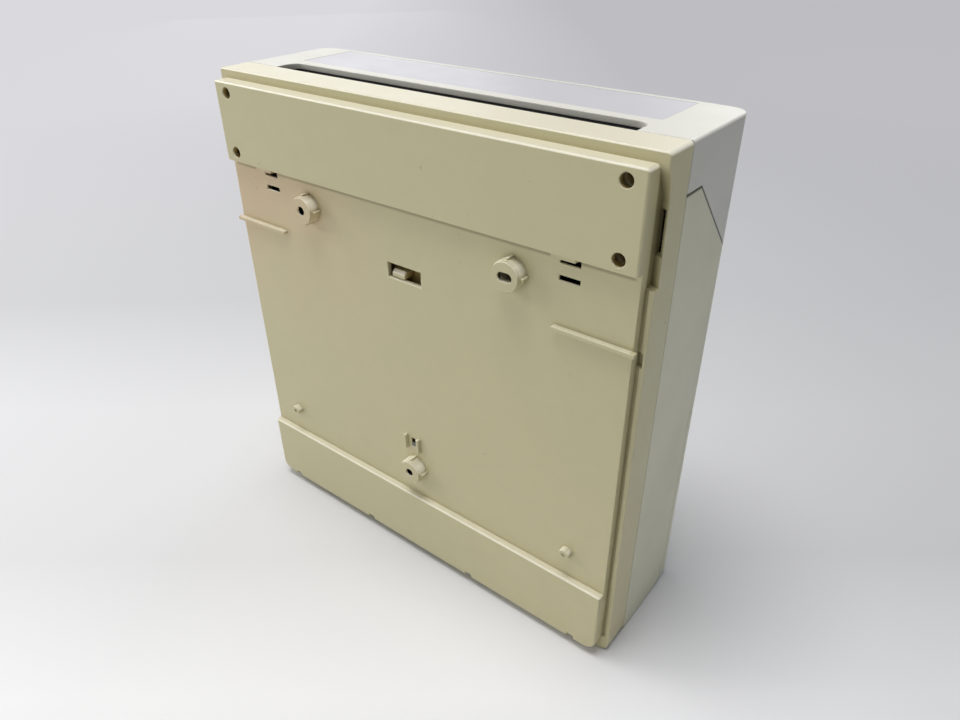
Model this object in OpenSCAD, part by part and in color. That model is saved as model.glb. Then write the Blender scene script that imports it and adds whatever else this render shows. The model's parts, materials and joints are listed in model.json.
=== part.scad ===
// Wall-mounted programmable timer for heating and hot water.
// Frame: +Z up, the front faces -Y, the wall side faces +Y.
// The origin is at the bottom centre of the bounding box. Millimetres.

/* [Case] */
// Overall width of the case
case_w = 218; // [216:1:280]
// Overall height of the case
case_h = 228; // [226:1:300]
// Depth from the front face to the rear face of the raised rear block
case_d = 70.5; // [68:0.5:95]
// Wall thickness of the moulded shells
wall = 2.5; // [2:0.1:3]
// Plan radius of the front vertical corners
corner_r = 8; // [5:0.5:9]
// Distance from the rear face to the seam between back shell and housing
seam_d = 21.8; // [20:0.2:26]

/* [Rear block] */
// How far the block's sides stand in from the case sides
block_side = 3.3; // [2:0.1:5]
// How far the block's top and bottom stand in from the case
block_end = 4; // [3:0.5:8]
// How far the flange stands back from the block's rear face
flange_d = 6.4; // [5:0.2:8]
// Depth of the recessed middle panel
recess_d = 3; // [2:0.2:4]
// Lower edge of the recessed panel
recess_z0 = 39; // [34:0.5:44]
// Height of the raised band at the top of the block
band_h = 35.2; // [30:0.2:40]
// Radius on the block's rear edges
block_r = 1; // [0.8:0.1:2.6]

/* [Wall fixing] */
// Distance between the two upper wall screws
fix_w = 110; // [90:1:120]
// Height of the upper wall screws over the lower one
fix_h = 120; // [110:1:124]
// Height of the lower wall screw over the bottom of the case
fix_z = 55.4; // [54:0.2:58]
// Diameter of the wall screw holes
fix_hole_d = 4; // [3:0.1:5]
// Diameter of the wall bosses
fix_boss_d = 12.6; // [11:0.1:14]
// How far the wall bosses stand out behind the rear block
boss_proud = 2.3; // [1:0.1:4]

/* [Case screws] */
// Distance of the screws in from the side of the case
screw_in = 10.8; // [10:0.1:13]
// Distance of the upper pair below the top of the case
screw_top = 8.9; // [8.4:0.1:10]
// Distance between the upper and the lower pair
screw_gap = 26; // [24:0.5:28]
// Diameter of the screw wells
well_d = 5; // [4.6:0.1:6]
// Shank diameter of the case screws
screw_d = 2.9; // [2.5:0.1:3.2]

/* [Hood and pocket] */
// Height of the hood at the front
hood_h = 54.7; // [50:0.1:62]
// Height of the hood along the seam
hood_back_h = 17.6; // [15:0.2:20]
// Length of the level part of the hood's side joint
hood_level = 11.6; // [9:0.2:16]
// Width of the slot in the top
slot_w = 178; // [150:1:182]
// Front-to-back size of the slot
slot_d = 11.2; // [8:0.2:12]
// Depth of the card pocket under the slot
pocket_depth = 57; // [30:1:60]

/* [Door] */
// Height of the door's top edge over the bottom of the case
door_top = 103; // [95:0.5:106]
// How far the door's side lips reach back from the front face
lip_d = 10; // [9:0.2:12]
// Height of the hinge axis
hinge_z = 10.5; // [10:0.1:12]
// Radius of the door around its hinge
knuckle_r = 6.4; // [6:0.1:6.6]
// Diameter of the hinge pins
pin_d = 3; // [2:0.1:4]

/* [Fascia] */
// Width of the control panel seen from the front
panel_w = 194; // [190:1:194]
// Height of the control panel seen from the front
panel_h = 58; // [56:0.5:60]
// Width of the display lens
lens_w = 88; // [80:1:90]
// Height of the display lens
lens_h = 42; // [34:1:42]
// Diameter of the round keys
key_d = 11; // [9:0.1:12]
// Distance between neighbouring keys
key_pitch = 18; // [16:0.5:19]
// Travel of a key
key_travel = 0.8; // [0.4:0.1:1]
// Travel of a slide switch to each side of its middle
slide_travel = 4; // [2:0.5:4]

/* [Boards] */
// Width of the main circuit board
board_w = 156; // [150:1:166]
// Height of the main circuit board
board_h = 94; // [90:1:98]
// Height of the main board's lower edge over the bottom of the case
board_z = 64; // [63:0.5:66]
// Thickness of the circuit boards
pcb_t = 1.6; // [1:0.1:2]
// Pitch of the wiring terminals
term_pitch = 10; // [7.5:0.5:10]

/* [Fits] */
// Gap at the joints between case mouldings
case_gap = 0.3; // [0.1:0.05:0.5]
// Gap all round a part that drops into its seat
seat_gap = 0.2; // [0.1:0.05:0.3]
// Radial running clearance of pins and screws in their holes
run_gap = 0.05; // [0.02:0.01:0.1]

/* [Hidden] */
$fn = 64;

CREAM = [0.72, 0.68, 0.55];
LIGHT_GREY = [0.80, 0.80, 0.77];
HOOD_WHITE = [0.88, 0.88, 0.86];
DARK_GREY = [0.22, 0.23, 0.25];
KEY_GREY = [0.55, 0.57, 0.60];
BOARD_GREEN = [0.16, 0.42, 0.24];
STEEL = [0.72, 0.72, 0.74];
COPPER = [0.72, 0.45, 0.20];
BLACK = [0.08, 0.08, 0.09];
TINY = 0.01;

// Planes across the depth
y_boss = (case_d + boss_proud) / 2;
y_rear = y_boss - boss_proud;
y_front = y_rear - case_d;
y_recess = y_rear - recess_d;
y_floor = y_recess - wall;
y_flange = y_rear - flange_d;
y_seam = y_rear - seam_d;
half_w = case_w / 2;
block_x = half_w - block_side;
block_top = case_h - block_end;
band_z = block_top - band_h;
lip_y = y_front + lip_d;
hinge_y = y_front + knuckle_r;
edge_fn = 32;

// 2D shapes drawn in X and Z are extruded from y0 to y1.
module slab(y0, y1) {
    translate([0, y1, 0])
        rotate([90, 0, 0])
            linear_extrude(y1 - y0)
                children();
}

// 2D shapes drawn in Y and Z are extruded from x0 to x1.
module along_x(x0, x1) {
    translate([x0, 0, 0])
        rotate([90, 0, 90])
            linear_extrude(x1 - x0)
                children();
}

// Box given by two opposite corners
module box(low, high) {
    translate(low)
        cube(high - low);
}

// Round bar along Y from y0 to y1
module rod(d, x, z, y0, y1) {
    translate([x, y1, z])
        rotate([90, 0, 0])
            cylinder(d = d, h = y1 - y0);
}

// The same shape on the left and on the right
module both_sides() {
    children();
    mirror([1, 0, 0])
        children();
}

// Rectangle from corner a to corner b with corners of radius r
module round_rect(a, b, r) {
    translate([a.x + r, a.y])
        square([b.x - a.x - 2 * r, b.y - a.y]);
    translate([a.x, a.y + r])
        square([b.x - a.x, b.y - a.y - 2 * r]);
    for (x = [a.x + r, b.x - r], y = [a.y + r, b.y - r])
        translate([x, y])
            circle(r);
}

// ---------------------------------------------------------------- back shell

ledge_r = 0.8;
block_foot_r = 6;
block_top_r = 1.4;
flange_foot_r = 4.5;
flange_top_r = 1.6;
min_r = 0.2;
recess_edge_r = 1.1;
slice_steps = 6;

// Corner circles of the block's outline in X and Z, drawn in by the given inset
module block_corners(inset) {
    foot_r = block_foot_r - inset;
    top_r = max(block_top_r - inset, min_r);
    for (side = [-1, 1]) {
        translate([side * (block_x - inset - foot_r), block_end + inset + foot_r])
            circle(foot_r, $fn = edge_fn);
        translate([side * (block_x - inset - top_r), block_top - inset - top_r])
            circle(top_r, $fn = edge_fn);
    }
}

// Corner circles of the flange's outline in X and Z, drawn in by the given inset
module flange_corners(inset) {
    foot_r = flange_foot_r - inset;
    top_r = max(flange_top_r - inset, min_r);
    for (side = [-1, 1]) {
        translate([side * (half_w - inset - foot_r), inset + foot_r])
            circle(foot_r, $fn = edge_fn);
        translate([side * (half_w - inset - top_r), case_h - inset - top_r])
            circle(top_r, $fn = edge_fn);
    }
}

// Inset of a rounded edge of radius r at the given step
function edge_inset(r, step) = r * (1 - cos(90 * step / slice_steps));
function edge_drop(r, step) = r * (1 - sin(90 * step / slice_steps));

module block_solid() {
    hull() {
        slab(y_flange - 1, y_rear - block_r)
            block_corners(0);
        for (step = [0 : slice_steps])
            slab(y_rear - block_r, y_rear - edge_drop(block_r, step))
                block_corners(edge_inset(block_r, step));
    }
}

module flange_solid() {
    hull() {
        slab(y_seam, y_flange - ledge_r)
            flange_corners(0);
        for (step = [0 : slice_steps])
            slab(y_flange - ledge_r, y_flange - edge_drop(ledge_r, step))
                flange_corners(edge_inset(ledge_r, step));
    }
}

fix_top_z = fix_z + fix_h;
fix_points = [[fix_w / 2, fix_top_z], [-fix_w / 2, fix_top_z], [0, fix_z]];
boss_floor = 3;
well_floor = 3;
well_wall = 1.6;
screw_x = half_w - screw_in;
screw_z_top = case_h - screw_top;
screw_z_low = screw_z_top - screw_gap;
screw_points = [[screw_x, screw_z_top], [-screw_x, screw_z_top],
    [screw_x, screw_z_low], [-screw_x, screw_z_low]];
screw_hole_d = screw_d + 2 * run_gap;
hook_slot_x = 79.1;
hook_slot_w = 8.5;
window_w = 18.4;
window_z0 = 155.4;
window_z1 = 162.2;
ridge_z = 159.6;
ridge_l = 31.3;
ridge_out = 1.5;
ridge_h = 1.8;
ridge_drop = 0.8;
peg_x = 86.4;
peg_z = 53;
notch_x = [33.6, 92.8];
notch_w = 3.6;
channel_z0 = 182.5;
channel_z1 = 223;
channel_full_z = 212;
channel_in = 4.4;
channel_out = 2.2;
panel_skin = 0.9;
hook_notch = 0.9;
hook_top = 1.4;
hook_low = 4;
pad_x = 1;
side_slot_z = [193.3, 209.2];
side_notch_z = [152.5, 158.5];

// Recess of the middle panel, with its lower edge rounded
module recess_cut() {
    box([-half_w, y_recess, recess_z0], [half_w, y_rear + 1, band_z]);
    difference() {
        box([-half_w, y_rear - recess_edge_r, recess_z0 - recess_edge_r], [half_w, y_rear + 1, recess_z0 + 1]);
        along_x(-half_w - 1, half_w + 1)
            translate([y_rear - recess_edge_r, recess_z0 - recess_edge_r])
                circle(recess_edge_r);
    }
}

// One wall boss with four small ribs round it
module wall_boss(p) {
    rib_t = 1.2;
    rib_out = 0.9;
    rib_drop = 1.6;
    rod(fix_boss_d - 0.6, p.x, p.y, y_recess - TINY, y_boss);
    rod(fix_boss_d, p.x, p.y, y_recess - TINY, y_boss - 0.8);
    translate([p.x, 0, p.y]) {
        box([-fix_boss_d / 2 - rib_out, y_recess - TINY, -rib_t / 2],
            [fix_boss_d / 2 + rib_out, y_boss - rib_drop, rib_t / 2]);
        box([-rib_t / 2, y_recess - TINY, -fix_boss_d / 2 - rib_out],
            [rib_t / 2, y_boss - rib_drop, fix_boss_d / 2 + rib_out]);
    }
}

// Holes through the wall bosses, widened from the inside for the screw head
module wall_screw_cuts() {
    head_d = 9.4;
    slot_l = 6.3;
    slot_h = 3.5;
    for (p = fix_points)
        rod(head_d, p.x, p.y, y_floor - 1, y_boss - boss_floor);
    for (p = [fix_points[0], fix_points[2]])
        rod(fix_hole_d, p.x, p.y, y_boss - boss_floor - 1, y_boss + 1);
    slab(y_boss - boss_floor - 1, y_boss + 1)
        translate([fix_points[1].x, fix_points[1].y])
            round_rect([-slot_l / 2, -slot_h / 2], [slot_l / 2, slot_h / 2], slot_h / 2 - TINY);
}

// Bars, pegs and the framed hole that stand on the recessed panel
module panel_details() {
    pad_w = 9.2;
    pad_h = 8.2;
    rib_t = 1.4;
    both_sides() {
        box([block_x - ridge_l, y_recess - TINY, ridge_z - ridge_h / 2],
            [block_x + ridge_out, y_rear - ridge_drop, ridge_z + ridge_h / 2]);
        rod(ridge_h, block_x - ridge_l, ridge_z, y_recess - TINY, y_rear - ridge_drop);
        rod(5, peg_x, peg_z, y_recess - TINY, y_rear);
    }
    for (side = [-1, 1])
        box([pad_x + side * (pad_w - rib_t) / 2 - rib_t / 2, y_recess - TINY, fix_z + 10.5],
            [pad_x + side * (pad_w - rib_t) / 2 + rib_t / 2, y_recess + 1.8, fix_z + 10.5 + pad_h]);
    for (x = [-hook_slot_x, hook_slot_x])
        box([x - hook_slot_w / 2 + hook_notch, y_recess - TINY, band_z - hook_top],
            [x + hook_slot_w / 2 + 2.3, y_rear - 0.4, band_z + TINY]);
}

module panel_cuts() {
    both_sides() {
        box([hook_slot_x - hook_slot_w / 2, y_floor - 1, 178.4],
            [hook_slot_x + hook_slot_w / 2, y_rear + 1, 180.2]);
        box([hook_slot_x - hook_slot_w / 2 - 1, y_floor - 1, 176.5],
            [hook_slot_x + hook_slot_w / 2 + 1, y_recess - panel_skin, band_z - 0.4]);
        rod(2, peg_x, peg_z, y_rear - 0.6, y_rear + 1);
    }
    for (x = [-hook_slot_x, hook_slot_x]) {
        box([x - hook_slot_w / 2, y_floor - 1, band_z - hook_low],
            [x + hook_slot_w / 2, y_rear + 1, band_z - hook_top]);
        box([x - hook_slot_w / 2, y_floor - 1, band_z - hook_low],
            [x - hook_slot_w / 2 + hook_notch, y_rear + 1, band_z - TINY]);
    }
    box([-window_w / 2, y_floor - 1, window_z0], [window_w / 2, y_recess + 1, window_z1]);
    box([pad_x - 1.1, y_floor - 1, fix_z + 12.1], [pad_x + 1.1, y_recess + 1, fix_z + 17.1]);
    box([pad_x - 3, y_floor - 1, fix_z + 10.5], [pad_x + 3, y_recess - panel_skin, fix_z + 18.5]);
}

// Sloped channel beside the block, running out to nothing at its upper end
module side_channel() {
    translate([0, 0, channel_z0])
        linear_extrude(channel_full_z - channel_z0)
            polygon([[block_x, y_flange - channel_in], [half_w + 1, y_flange - channel_out],
                [half_w + 1, y_flange + 1], [block_x, y_flange + 1]]);
    hull() {
        translate([0, 0, channel_full_z - TINY])
            linear_extrude(TINY)
                polygon([[block_x, y_flange - channel_in], [half_w + 1, y_flange - channel_out],
                    [half_w + 1, y_flange + 1], [block_x, y_flange + 1]]);
        box([block_x, y_flange, channel_full_z], [half_w + 1, y_flange + 1, channel_z1]);
    }
}

// Solid strip inside the flange that carries the channel
module channel_back() {
    both_sides()
        box([block_x - wall, y_flange - channel_in - wall, channel_z0 - wall],
            [half_w - wall + TINY, y_flange - wall + TINY, channel_z1]);
}

// Channel, slot and notches along the flange and under the block
module edge_cuts() {
    groove_w = 1.5;
    groove_d = 0.8;
    slot_side_w = 1.6;
    slot_rim = 0.5;
    both_sides() {
        box([block_x, y_flange - groove_d, block_end + 5], [block_x + groove_w, y_flange + TINY, channel_z0 + 1]);
        side_channel();
        box([block_x, y_flange - channel_in - 0.3, side_slot_z[0]],
            [half_w - slot_rim, y_flange + TINY, side_slot_z[1]]);
        box([block_x, y_seam + wall, side_slot_z[0]],
            [block_x + slot_side_w, y_flange + TINY, side_slot_z[1]]);
        box([block_x, y_flange - channel_out, side_notch_z[0]], [half_w - 1, y_flange + TINY, side_notch_z[1]]);
        for (x = notch_x)
            box([x - notch_w / 2, y_rear - 3, block_end - 1], [x + notch_w / 2, y_rear + 1, block_end + 2.1]);
    }
}

module shell_cavity() {
    box([-(half_w - wall), y_seam - 1, wall], [half_w - wall, y_flange - wall, case_h - wall]);
    box([-(block_x - wall), y_seam, block_end + wall], [block_x - wall, y_floor, block_top - wall]);
    box([-(block_x - wall), y_seam, band_z + wall], [block_x - wall, y_rear - wall, block_top - wall]);
    box([-(block_x - wall - 6), y_seam, block_end + wall], [block_x - wall - 6, y_rear - wall, recess_z0 - wall]);
}

tray_post_x = 66;
tray_post_z = [70, 150];
board_post_x = 73;
board_post_z = [84, 146];
clamp_x = 46;
clamp_z = 26;
clamp_span = 34;
clamp_y = 18;
post_d = 7;
small_screw_d = 2.9;
small_hole_d = small_screw_d + 2 * run_gap;
tray_t = 2;
tray_y = y_floor - 4;

module shell_posts() {
    for (p = screw_points)
        rod(well_d + 2 * well_wall, p.x, p.y, y_seam, y_floor + 1);
    for (x = [-tray_post_x, tray_post_x], z = tray_post_z)
        rod(post_d, x, z, tray_y, y_floor + TINY);
    for (x = [-clamp_x, clamp_x], side = [-1, 1])
        rod(post_d, x + side * clamp_span / 2, clamp_z, clamp_y, y_rear - wall + TINY);
}

module shell_post_cuts() {
    for (p = screw_points) {
        rod(well_d, p.x, p.y, y_seam + well_floor, y_rear + 1);
        rod(screw_d + 0.6, p.x, p.y, y_seam - 1, y_seam + well_floor + 1);
    }
    for (x = [-tray_post_x, tray_post_x], z = tray_post_z)
        rod(small_hole_d, x, z, tray_y - 1, y_floor + 0.8);
    for (x = [-clamp_x, clamp_x], side = [-1, 1])
        rod(small_hole_d, x + side * clamp_span / 2, clamp_z, clamp_y - 1, y_floor - 1);
}

module back_shell() {
    color(CREAM)
        difference() {
            union() {
                difference() {
                    union() {
                        block_solid();
                        flange_solid();
                    }
                    recess_cut();
                    shell_cavity();
                }
                for (p = fix_points)
                    wall_boss(p);
                panel_details();
                channel_back();
                shell_posts();
            }
            wall_screw_cuts();
            panel_cuts();
            edge_cuts();
            shell_post_cuts();
        }
}

// ------------------------------------------------------------ front mouldings

inner_r = corner_r - wall;
floor_rise_y = y_front + 24.4;
floor_end_y = y_front + 10.4;
floor_end_z = 2.6;
hood_y = y_seam - hood_level;
hood_z = case_h - hood_back_h;
hood_front_z = case_h - hood_h;
divider_y = y_front + 18;
divider_t = 2;
shelf_z = 82;

// Plan of the case in X and Y with rounded front corners, up to the seam
module plan(inset, y_back) {
    r = corner_r - inset;
    w = case_w - 2 * inset;
    translate([-w / 2, y_front + inset + r])
        square([w, y_back - y_front - inset - r]);
    translate([-w / 2 + r, y_front + inset])
        square([w - 2 * r, r + TINY]);
    for (side = [-1, 1])
        translate([side * (w / 2 - r), y_front + inset + r])
            circle(r);
}

// Side profile of the housing in Y and Z, bounded by the hood joint and the door
module housing_profile(gap) {
    difference() {
        polygon([
            [y_seam - case_gap, 0],
            [floor_rise_y, 0],
            [floor_end_y, floor_end_z],
            [lip_y + case_gap, floor_end_z],
            [lip_y + case_gap, door_top],
            [y_front, door_top],
            [y_front, hood_front_z - gap],
            [hood_y - gap * 0.4, hood_z - gap],
            [y_seam - case_gap, hood_z - gap]
        ]);
        translate([hinge_y, hinge_z])
            circle(knuckle_r + 0.4);
    }
}

// Room inside the housing
module housing_cavity() {
    difference() {
        along_x(-(half_w - wall), half_w - wall)
            polygon([
                [y_seam + 1, wall],
                [floor_rise_y, wall],
                [floor_end_y - 1, wall + floor_end_z - 0.6],
                [y_front - 1, wall + floor_end_z - 0.6],
                [y_front - 1, door_top - 1],
                [divider_y, door_top - 1],
                [divider_y, door_top + wall],
                [y_front + wall, door_top + wall],
                [y_front + wall, case_h],
                [y_seam + 1, case_h]
            ]);
        // The front corners keep their thickness round the bend
        difference() {
            box([-half_w, y_front, door_top - 2], [half_w, y_front + corner_r, case_h]);
            linear_extrude(case_h + 1)
                plan(wall, y_seam);
        }
        box([-half_w, divider_y, shelf_z], [half_w, divider_y + divider_t, door_top + wall]);
        box([-half_w, divider_y, shelf_z], [half_w, y_seam, shelf_z + divider_t]);
    }
}

panel_z = (door_top + hood_front_z) / 2;
panel_sink = 1.5;
panel_y = y_front + panel_sink;
panel_back_y = y_front + wall + 2;
panel_r = 4;
flange_w = 3;
ear_x = half_w - corner_r;
ear_z = 26;
ear_t = 2;
ear_in = 6;

module housing_bosses() {
    boss_l = 16;
    both_sides() {
        rod(8, screw_x, screw_z_low, y_seam - boss_l, y_seam - case_gap);
        box([screw_x, y_seam - boss_l, screw_z_low - 1], [half_w - 1, y_seam - case_gap, screw_z_low + 1]);
        for (z = [panel_z - ear_z, panel_z + ear_z])
            rod(6, ear_x, z, y_front + wall - TINY, panel_back_y);
        hinge_lug();
    }
}

lug_x0 = half_w - 11;
lug_x1 = half_w - 6;

// Lug that carries a hinge pin, joined to the side wall behind the hinge
module hinge_lug() {
    lug_r = 3.6;
    web_y = hinge_y + 14;
    along_x(lug_x0, lug_x1) {
        translate([hinge_y, hinge_z])
            circle(lug_r);
        polygon([
            [hinge_y, hinge_z + lug_r - 0.2],
            [hinge_y + lug_r - 0.1, hinge_z + 0.6],
            [web_y, hinge_z + 6],
            [web_y, hinge_z + 16]
        ]);
    }
    along_x(lug_x0, half_w - wall + TINY)
        polygon([
            [lip_y + 1.2, hinge_z + 3],
            [web_y, hinge_z + 6],
            [web_y, hinge_z + 16],
            [lip_y + 1.2, hinge_z + 7.6]
        ]);
}

grommet_x = 46;
grommet_y = y_seam - 13;
grommet_hole_d = 16;

module front_housing() {
    color(LIGHT_GREY)
        difference() {
            union() {
                difference() {
                    intersection() {
                        linear_extrude(case_h)
                            plan(0, y_seam);
                        along_x(-half_w, half_w)
                            housing_profile(case_gap / 2);
                    }
                    housing_cavity();
                }
                housing_bosses();
            }
            slab(y_front - 1, y_front + wall + TINY)
                translate([0, panel_z])
                    round_rect([-panel_w / 2, -panel_h / 2], [panel_w / 2, panel_h / 2], panel_r);
            both_sides() {
                rod(screw_hole_d, screw_x, screw_z_low, y_seam - 13, y_seam + 1);
                for (z = [panel_z - ear_z, panel_z + ear_z])
                    rod(small_hole_d, ear_x, z, y_front + 1.5, panel_back_y + 1);
                along_x(lug_x0 - 1, lug_x1 + 1)
                    translate([hinge_y, hinge_z])
                        circle(pin_d / 2 + run_gap);
                translate([grommet_x, grommet_y, -1])
                    cylinder(d = grommet_hole_d, h = wall + 2);
            }
        }
}

// Side profile of the hood in Y and Z
module hood_profile(gap) {
    polygon([
        [y_seam - case_gap, case_h],
        [y_front, case_h],
        [y_front, hood_front_z + gap],
        [hood_y + gap * 0.4, hood_z + gap],
        [y_seam - case_gap, hood_z + gap]
    ]);
}

slot_r = 5;
slot_y = y_seam - slot_d;
hood_edge_r = 1.2;

module hood_shell() {
    difference() {
        intersection() {
            linear_extrude(case_h)
                plan(0, y_seam);
            along_x(-half_w, half_w)
                hood_profile(case_gap / 2);
            slab(y_front - 1, y_seam)
                round_rect([-half_w, -20], [half_w, case_h], hood_edge_r);
        }
        translate([0, 0, -wall])
            intersection() {
                linear_extrude(case_h)
                    plan(wall, y_seam + 1);
                box([-half_w, y_front, 0], [half_w, y_seam + 1, case_h]);
            }
    }
}

module top_hood() {
    boss_l = 12;
    color(HOOD_WHITE)
        difference() {
            union() {
                hood_shell();
                both_sides()
                    rod(8, screw_x, screw_z_top, y_seam - boss_l, y_seam - case_gap);
                both_sides()
                    box([screw_x - 1, y_seam - boss_l, screw_z_top],
                        [screw_x + 1, y_seam - case_gap, case_h - 1]);
            }
            translate([0, 0, case_h - wall - 8])
                linear_extrude(wall + 9)
                    round_rect([-slot_w / 2, slot_y], [slot_w / 2, y_seam + 10], slot_r);
            both_sides()
                rod(screw_hole_d, screw_x, screw_z_top, y_seam - 9, y_seam + 1);
            label_seat();
        }
}

label_w = 180;
label_y0 = y_front + 2.4;
label_y1 = label_y0 + 29.7;
label_t = 0.3;

// Shallow seat that holds the label on top of the hood
module label_seat() {
    translate([0, 0, case_h - label_t])
        linear_extrude(label_t + 1)
            round_rect([-label_w / 2, label_y0], [label_w / 2, label_y1], 1);
}

module top_label() {
    color([0.90, 0.89, 0.93])
        translate([0, 0, case_h - label_t])
            linear_extrude(label_t - 0.05)
                round_rect([-label_w / 2 + seat_gap, label_y0 + seat_gap],
                    [label_w / 2 - seat_gap, label_y1 - seat_gap], 1);
}

pocket_t = 1.2;
pocket_top = case_h - wall - seat_gap;
pocket_z = case_h - pocket_depth - pocket_t;

module card_pocket() {
    x = slot_w / 2;
    color(DARK_GREY)
        difference() {
            union() {
                box([-x - pocket_t, slot_y - pocket_t, pocket_z], [x + pocket_t, y_seam - case_gap, pocket_top]);
                both_sides()
                    box([x - 20, slot_y - pocket_t - 4, pocket_top - 2], [x, slot_y - pocket_t, pocket_top]);
            }
            box([-x, slot_y, pocket_z + pocket_t], [x, y_seam - case_gap - pocket_t, case_h]);
        }
}

module case_screws() {
    head_d = 4.6;
    head_h = 2;
    color(STEEL)
        for (p = screw_points)
            difference() {
                union() {
                    rod(head_d, p.x, p.y, y_seam + well_floor, y_seam + well_floor + head_h);
                    rod(screw_d, p.x, p.y, y_seam - 8, y_seam + well_floor);
                }
                cross_cut(p, y_seam + well_floor + head_h, 2.6);
            }
}

// Cross recess of the given width in the end of a screw that faces the +Y side
module cross_cut(p, y, w) {
    t = 0.7;
    translate([p.x, y, p.y]) {
        box([-w / 2, -1, -t / 2], [w / 2, 1, t / 2]);
        box([-t / 2, -1, -w / 2], [t / 2, 1, w / 2]);
    }
}

// ----------------------------------------------------------------------- door

door_t = 2.2;
door_edge_z = door_top - case_gap;

module door_profile(t) {
    translate([y_front + t, hinge_z])
        square([lip_d - t, door_edge_z - hinge_z]);
    translate([hinge_y, hinge_z])
        circle(knuckle_r - t);
}

module front_door() {
    grip_w = 44;
    lip_x = half_w - door_t;
    color(LIGHT_GREY)
        difference() {
            intersection() {
                linear_extrude(case_h)
                    plan(0, y_seam);
                along_x(-half_w, half_w)
                    door_profile(0);
            }
            difference() {
                intersection() {
                    linear_extrude(case_h)
                        plan(door_t, y_seam);
                    along_x(-lip_x, lip_x)
                        union() {
                            door_profile(door_t);
                            translate([lip_y - 1, hinge_z - TINY])
                                square([10, door_top]);
                            translate([hinge_y, hinge_z - knuckle_r - 1])
                                square([knuckle_r + 1, knuckle_r + 2]);
                        }
                }
                box([-half_w, y_front, door_edge_z - door_t], [half_w, y_front + 5, case_h]);
            }
            both_sides()
                along_x(lip_x - 1, half_w - 0.6)
                    translate([hinge_y, hinge_z])
                        circle(pin_d / 2 + run_gap);
            translate([0, y_front, door_edge_z])
                rotate([0, 90, 0])
                    cylinder(r = 1.6, h = grip_w, center = true);
        }
}

module door_hinge_pins() {
    color(STEEL)
        both_sides()
            along_x(lug_x0 - 1, half_w - 0.9)
                translate([hinge_y, hinge_z])
                    circle(pin_d / 2);
}

// --------------------------------------------------------------------- fascia

lens_x = -panel_w / 2 + 5 + lens_w / 2;
lens_t = 1.4;
lens_ledge = 2;
key_x0 = 16;
key_points = [for (row = [0, 1], col = [0, 1, 2])
    [key_x0 + col * key_pitch, panel_z + key_pitch * (0.5 - row)]];
slider_x = [75, 88];
slider_slot_w = 3.4;
slider_stem_w = 2.6;
slider_stem_h = 4;
slider_z = panel_z - 4;
slot_half = slide_travel + slider_stem_h / 2 + 0.3;
pipe_z = panel_z + 20;
pipe_d = 3;
pcb_y = panel_back_y + 6;
display_post_x = [-panel_w / 2 + 7, panel_w / 2 - 5];
display_post_dz = 26;

module control_panel() {
    plate_w = panel_w + 2 * flange_w;
    plate_h = panel_h + 2 * flange_w;
    color(DARK_GREY)
        difference() {
            union() {
                slab(panel_y, panel_back_y)
                    translate([0, panel_z])
                        round_rect([-panel_w / 2 + seat_gap, -panel_h / 2 + seat_gap],
                            [panel_w / 2 - seat_gap, panel_h / 2 - seat_gap], panel_r - seat_gap);
                slab(y_front + wall, panel_back_y)
                    translate([0, panel_z])
                        difference() {
                            square([plate_w, plate_h], center = true);
                            for (x = [-ear_x, ear_x], z = [-ear_z, ear_z])
                                translate([x, z])
                                    circle(d = 6.6);
                        }
                both_sides()
                    for (z = [panel_z - ear_z, panel_z + ear_z])
                        box([ear_x - ear_in, panel_back_y, z - 4], [ear_x + 3.6, panel_back_y + ear_t, z + 4]);
                for (x = display_post_x, dz = [-display_post_dz, display_post_dz])
                    rod(5.2, x, panel_z + dz, panel_back_y, pcb_y);
            }
            slab(panel_y - 1, panel_y + lens_t)
                translate([lens_x, panel_z])
                    square([lens_w, lens_h], center = true);
            slab(panel_y, panel_back_y + 1)
                translate([lens_x, panel_z])
                    square([lens_w - 2 * lens_ledge, lens_h - 2 * lens_ledge], center = true);
            for (p = key_points)
                rod(key_d + 0.5, p.x, p.y, panel_y - 1, panel_back_y + 1);
            for (x = slider_x) {
                box([x - slider_slot_w / 2, panel_y - 1, slider_z - slot_half],
                    [x + slider_slot_w / 2, panel_back_y + 1, slider_z + slot_half]);
                rod(pipe_d + 2 * run_gap, x, pipe_z, panel_y - 1, panel_back_y + 1);
            }
            for (x = [-ear_x, ear_x], z = [panel_z - ear_z, panel_z + ear_z])
                rod(small_hole_d, x, z, panel_back_y - 1, panel_back_y + ear_t + 1);
            for (x = display_post_x, dz = [-display_post_dz, display_post_dz])
                rod(2.3, x, panel_z + dz, panel_back_y + 1, pcb_y + 1);
        }
}

// Screw along Y whose head rests on the plane y and whose shank points to -Y
module small_screw(d, x, z, y, l) {
    head_h = 1.8;
    difference() {
        union() {
            rod(d * 1.9, x, z, y, y + head_h);
            rod(d, x, z, y - l, y);
        }
        cross_cut([x, z], y + head_h, d * 1.1);
    }
}

module panel_screws() {
    color(STEEL)
        for (x = [-ear_x, ear_x], z = [panel_z - ear_z, panel_z + ear_z])
            small_screw(small_screw_d, x, z, panel_back_y + ear_t, 4.4);
}

module display_lens() {
    color([0.75, 0.80, 0.78])
        slab(panel_y + 0.1, panel_y + lens_t - 0.05)
            translate([lens_x, panel_z])
                square([lens_w - 2 * seat_gap, lens_h - 2 * seat_gap], center = true);
}

frame_w = lens_w + 4;
frame_h = lens_h + 4;
frame_y = panel_back_y + 0.1;
glass_w = lens_w - 4;
glass_h = lens_h - 8;
glass_t = 2.2;
strip_h = 2;
light_w = glass_w - 4;
light_h = glass_h - 5;

module display_frame() {
    color([0.85, 0.85, 0.82])
        slab(frame_y, pcb_y)
            translate([lens_x, panel_z])
                difference() {
                    square([frame_w, frame_h], center = true);
                    square([glass_w + 2 * seat_gap, glass_h + 2 * seat_gap], center = true);
                }
}

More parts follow.
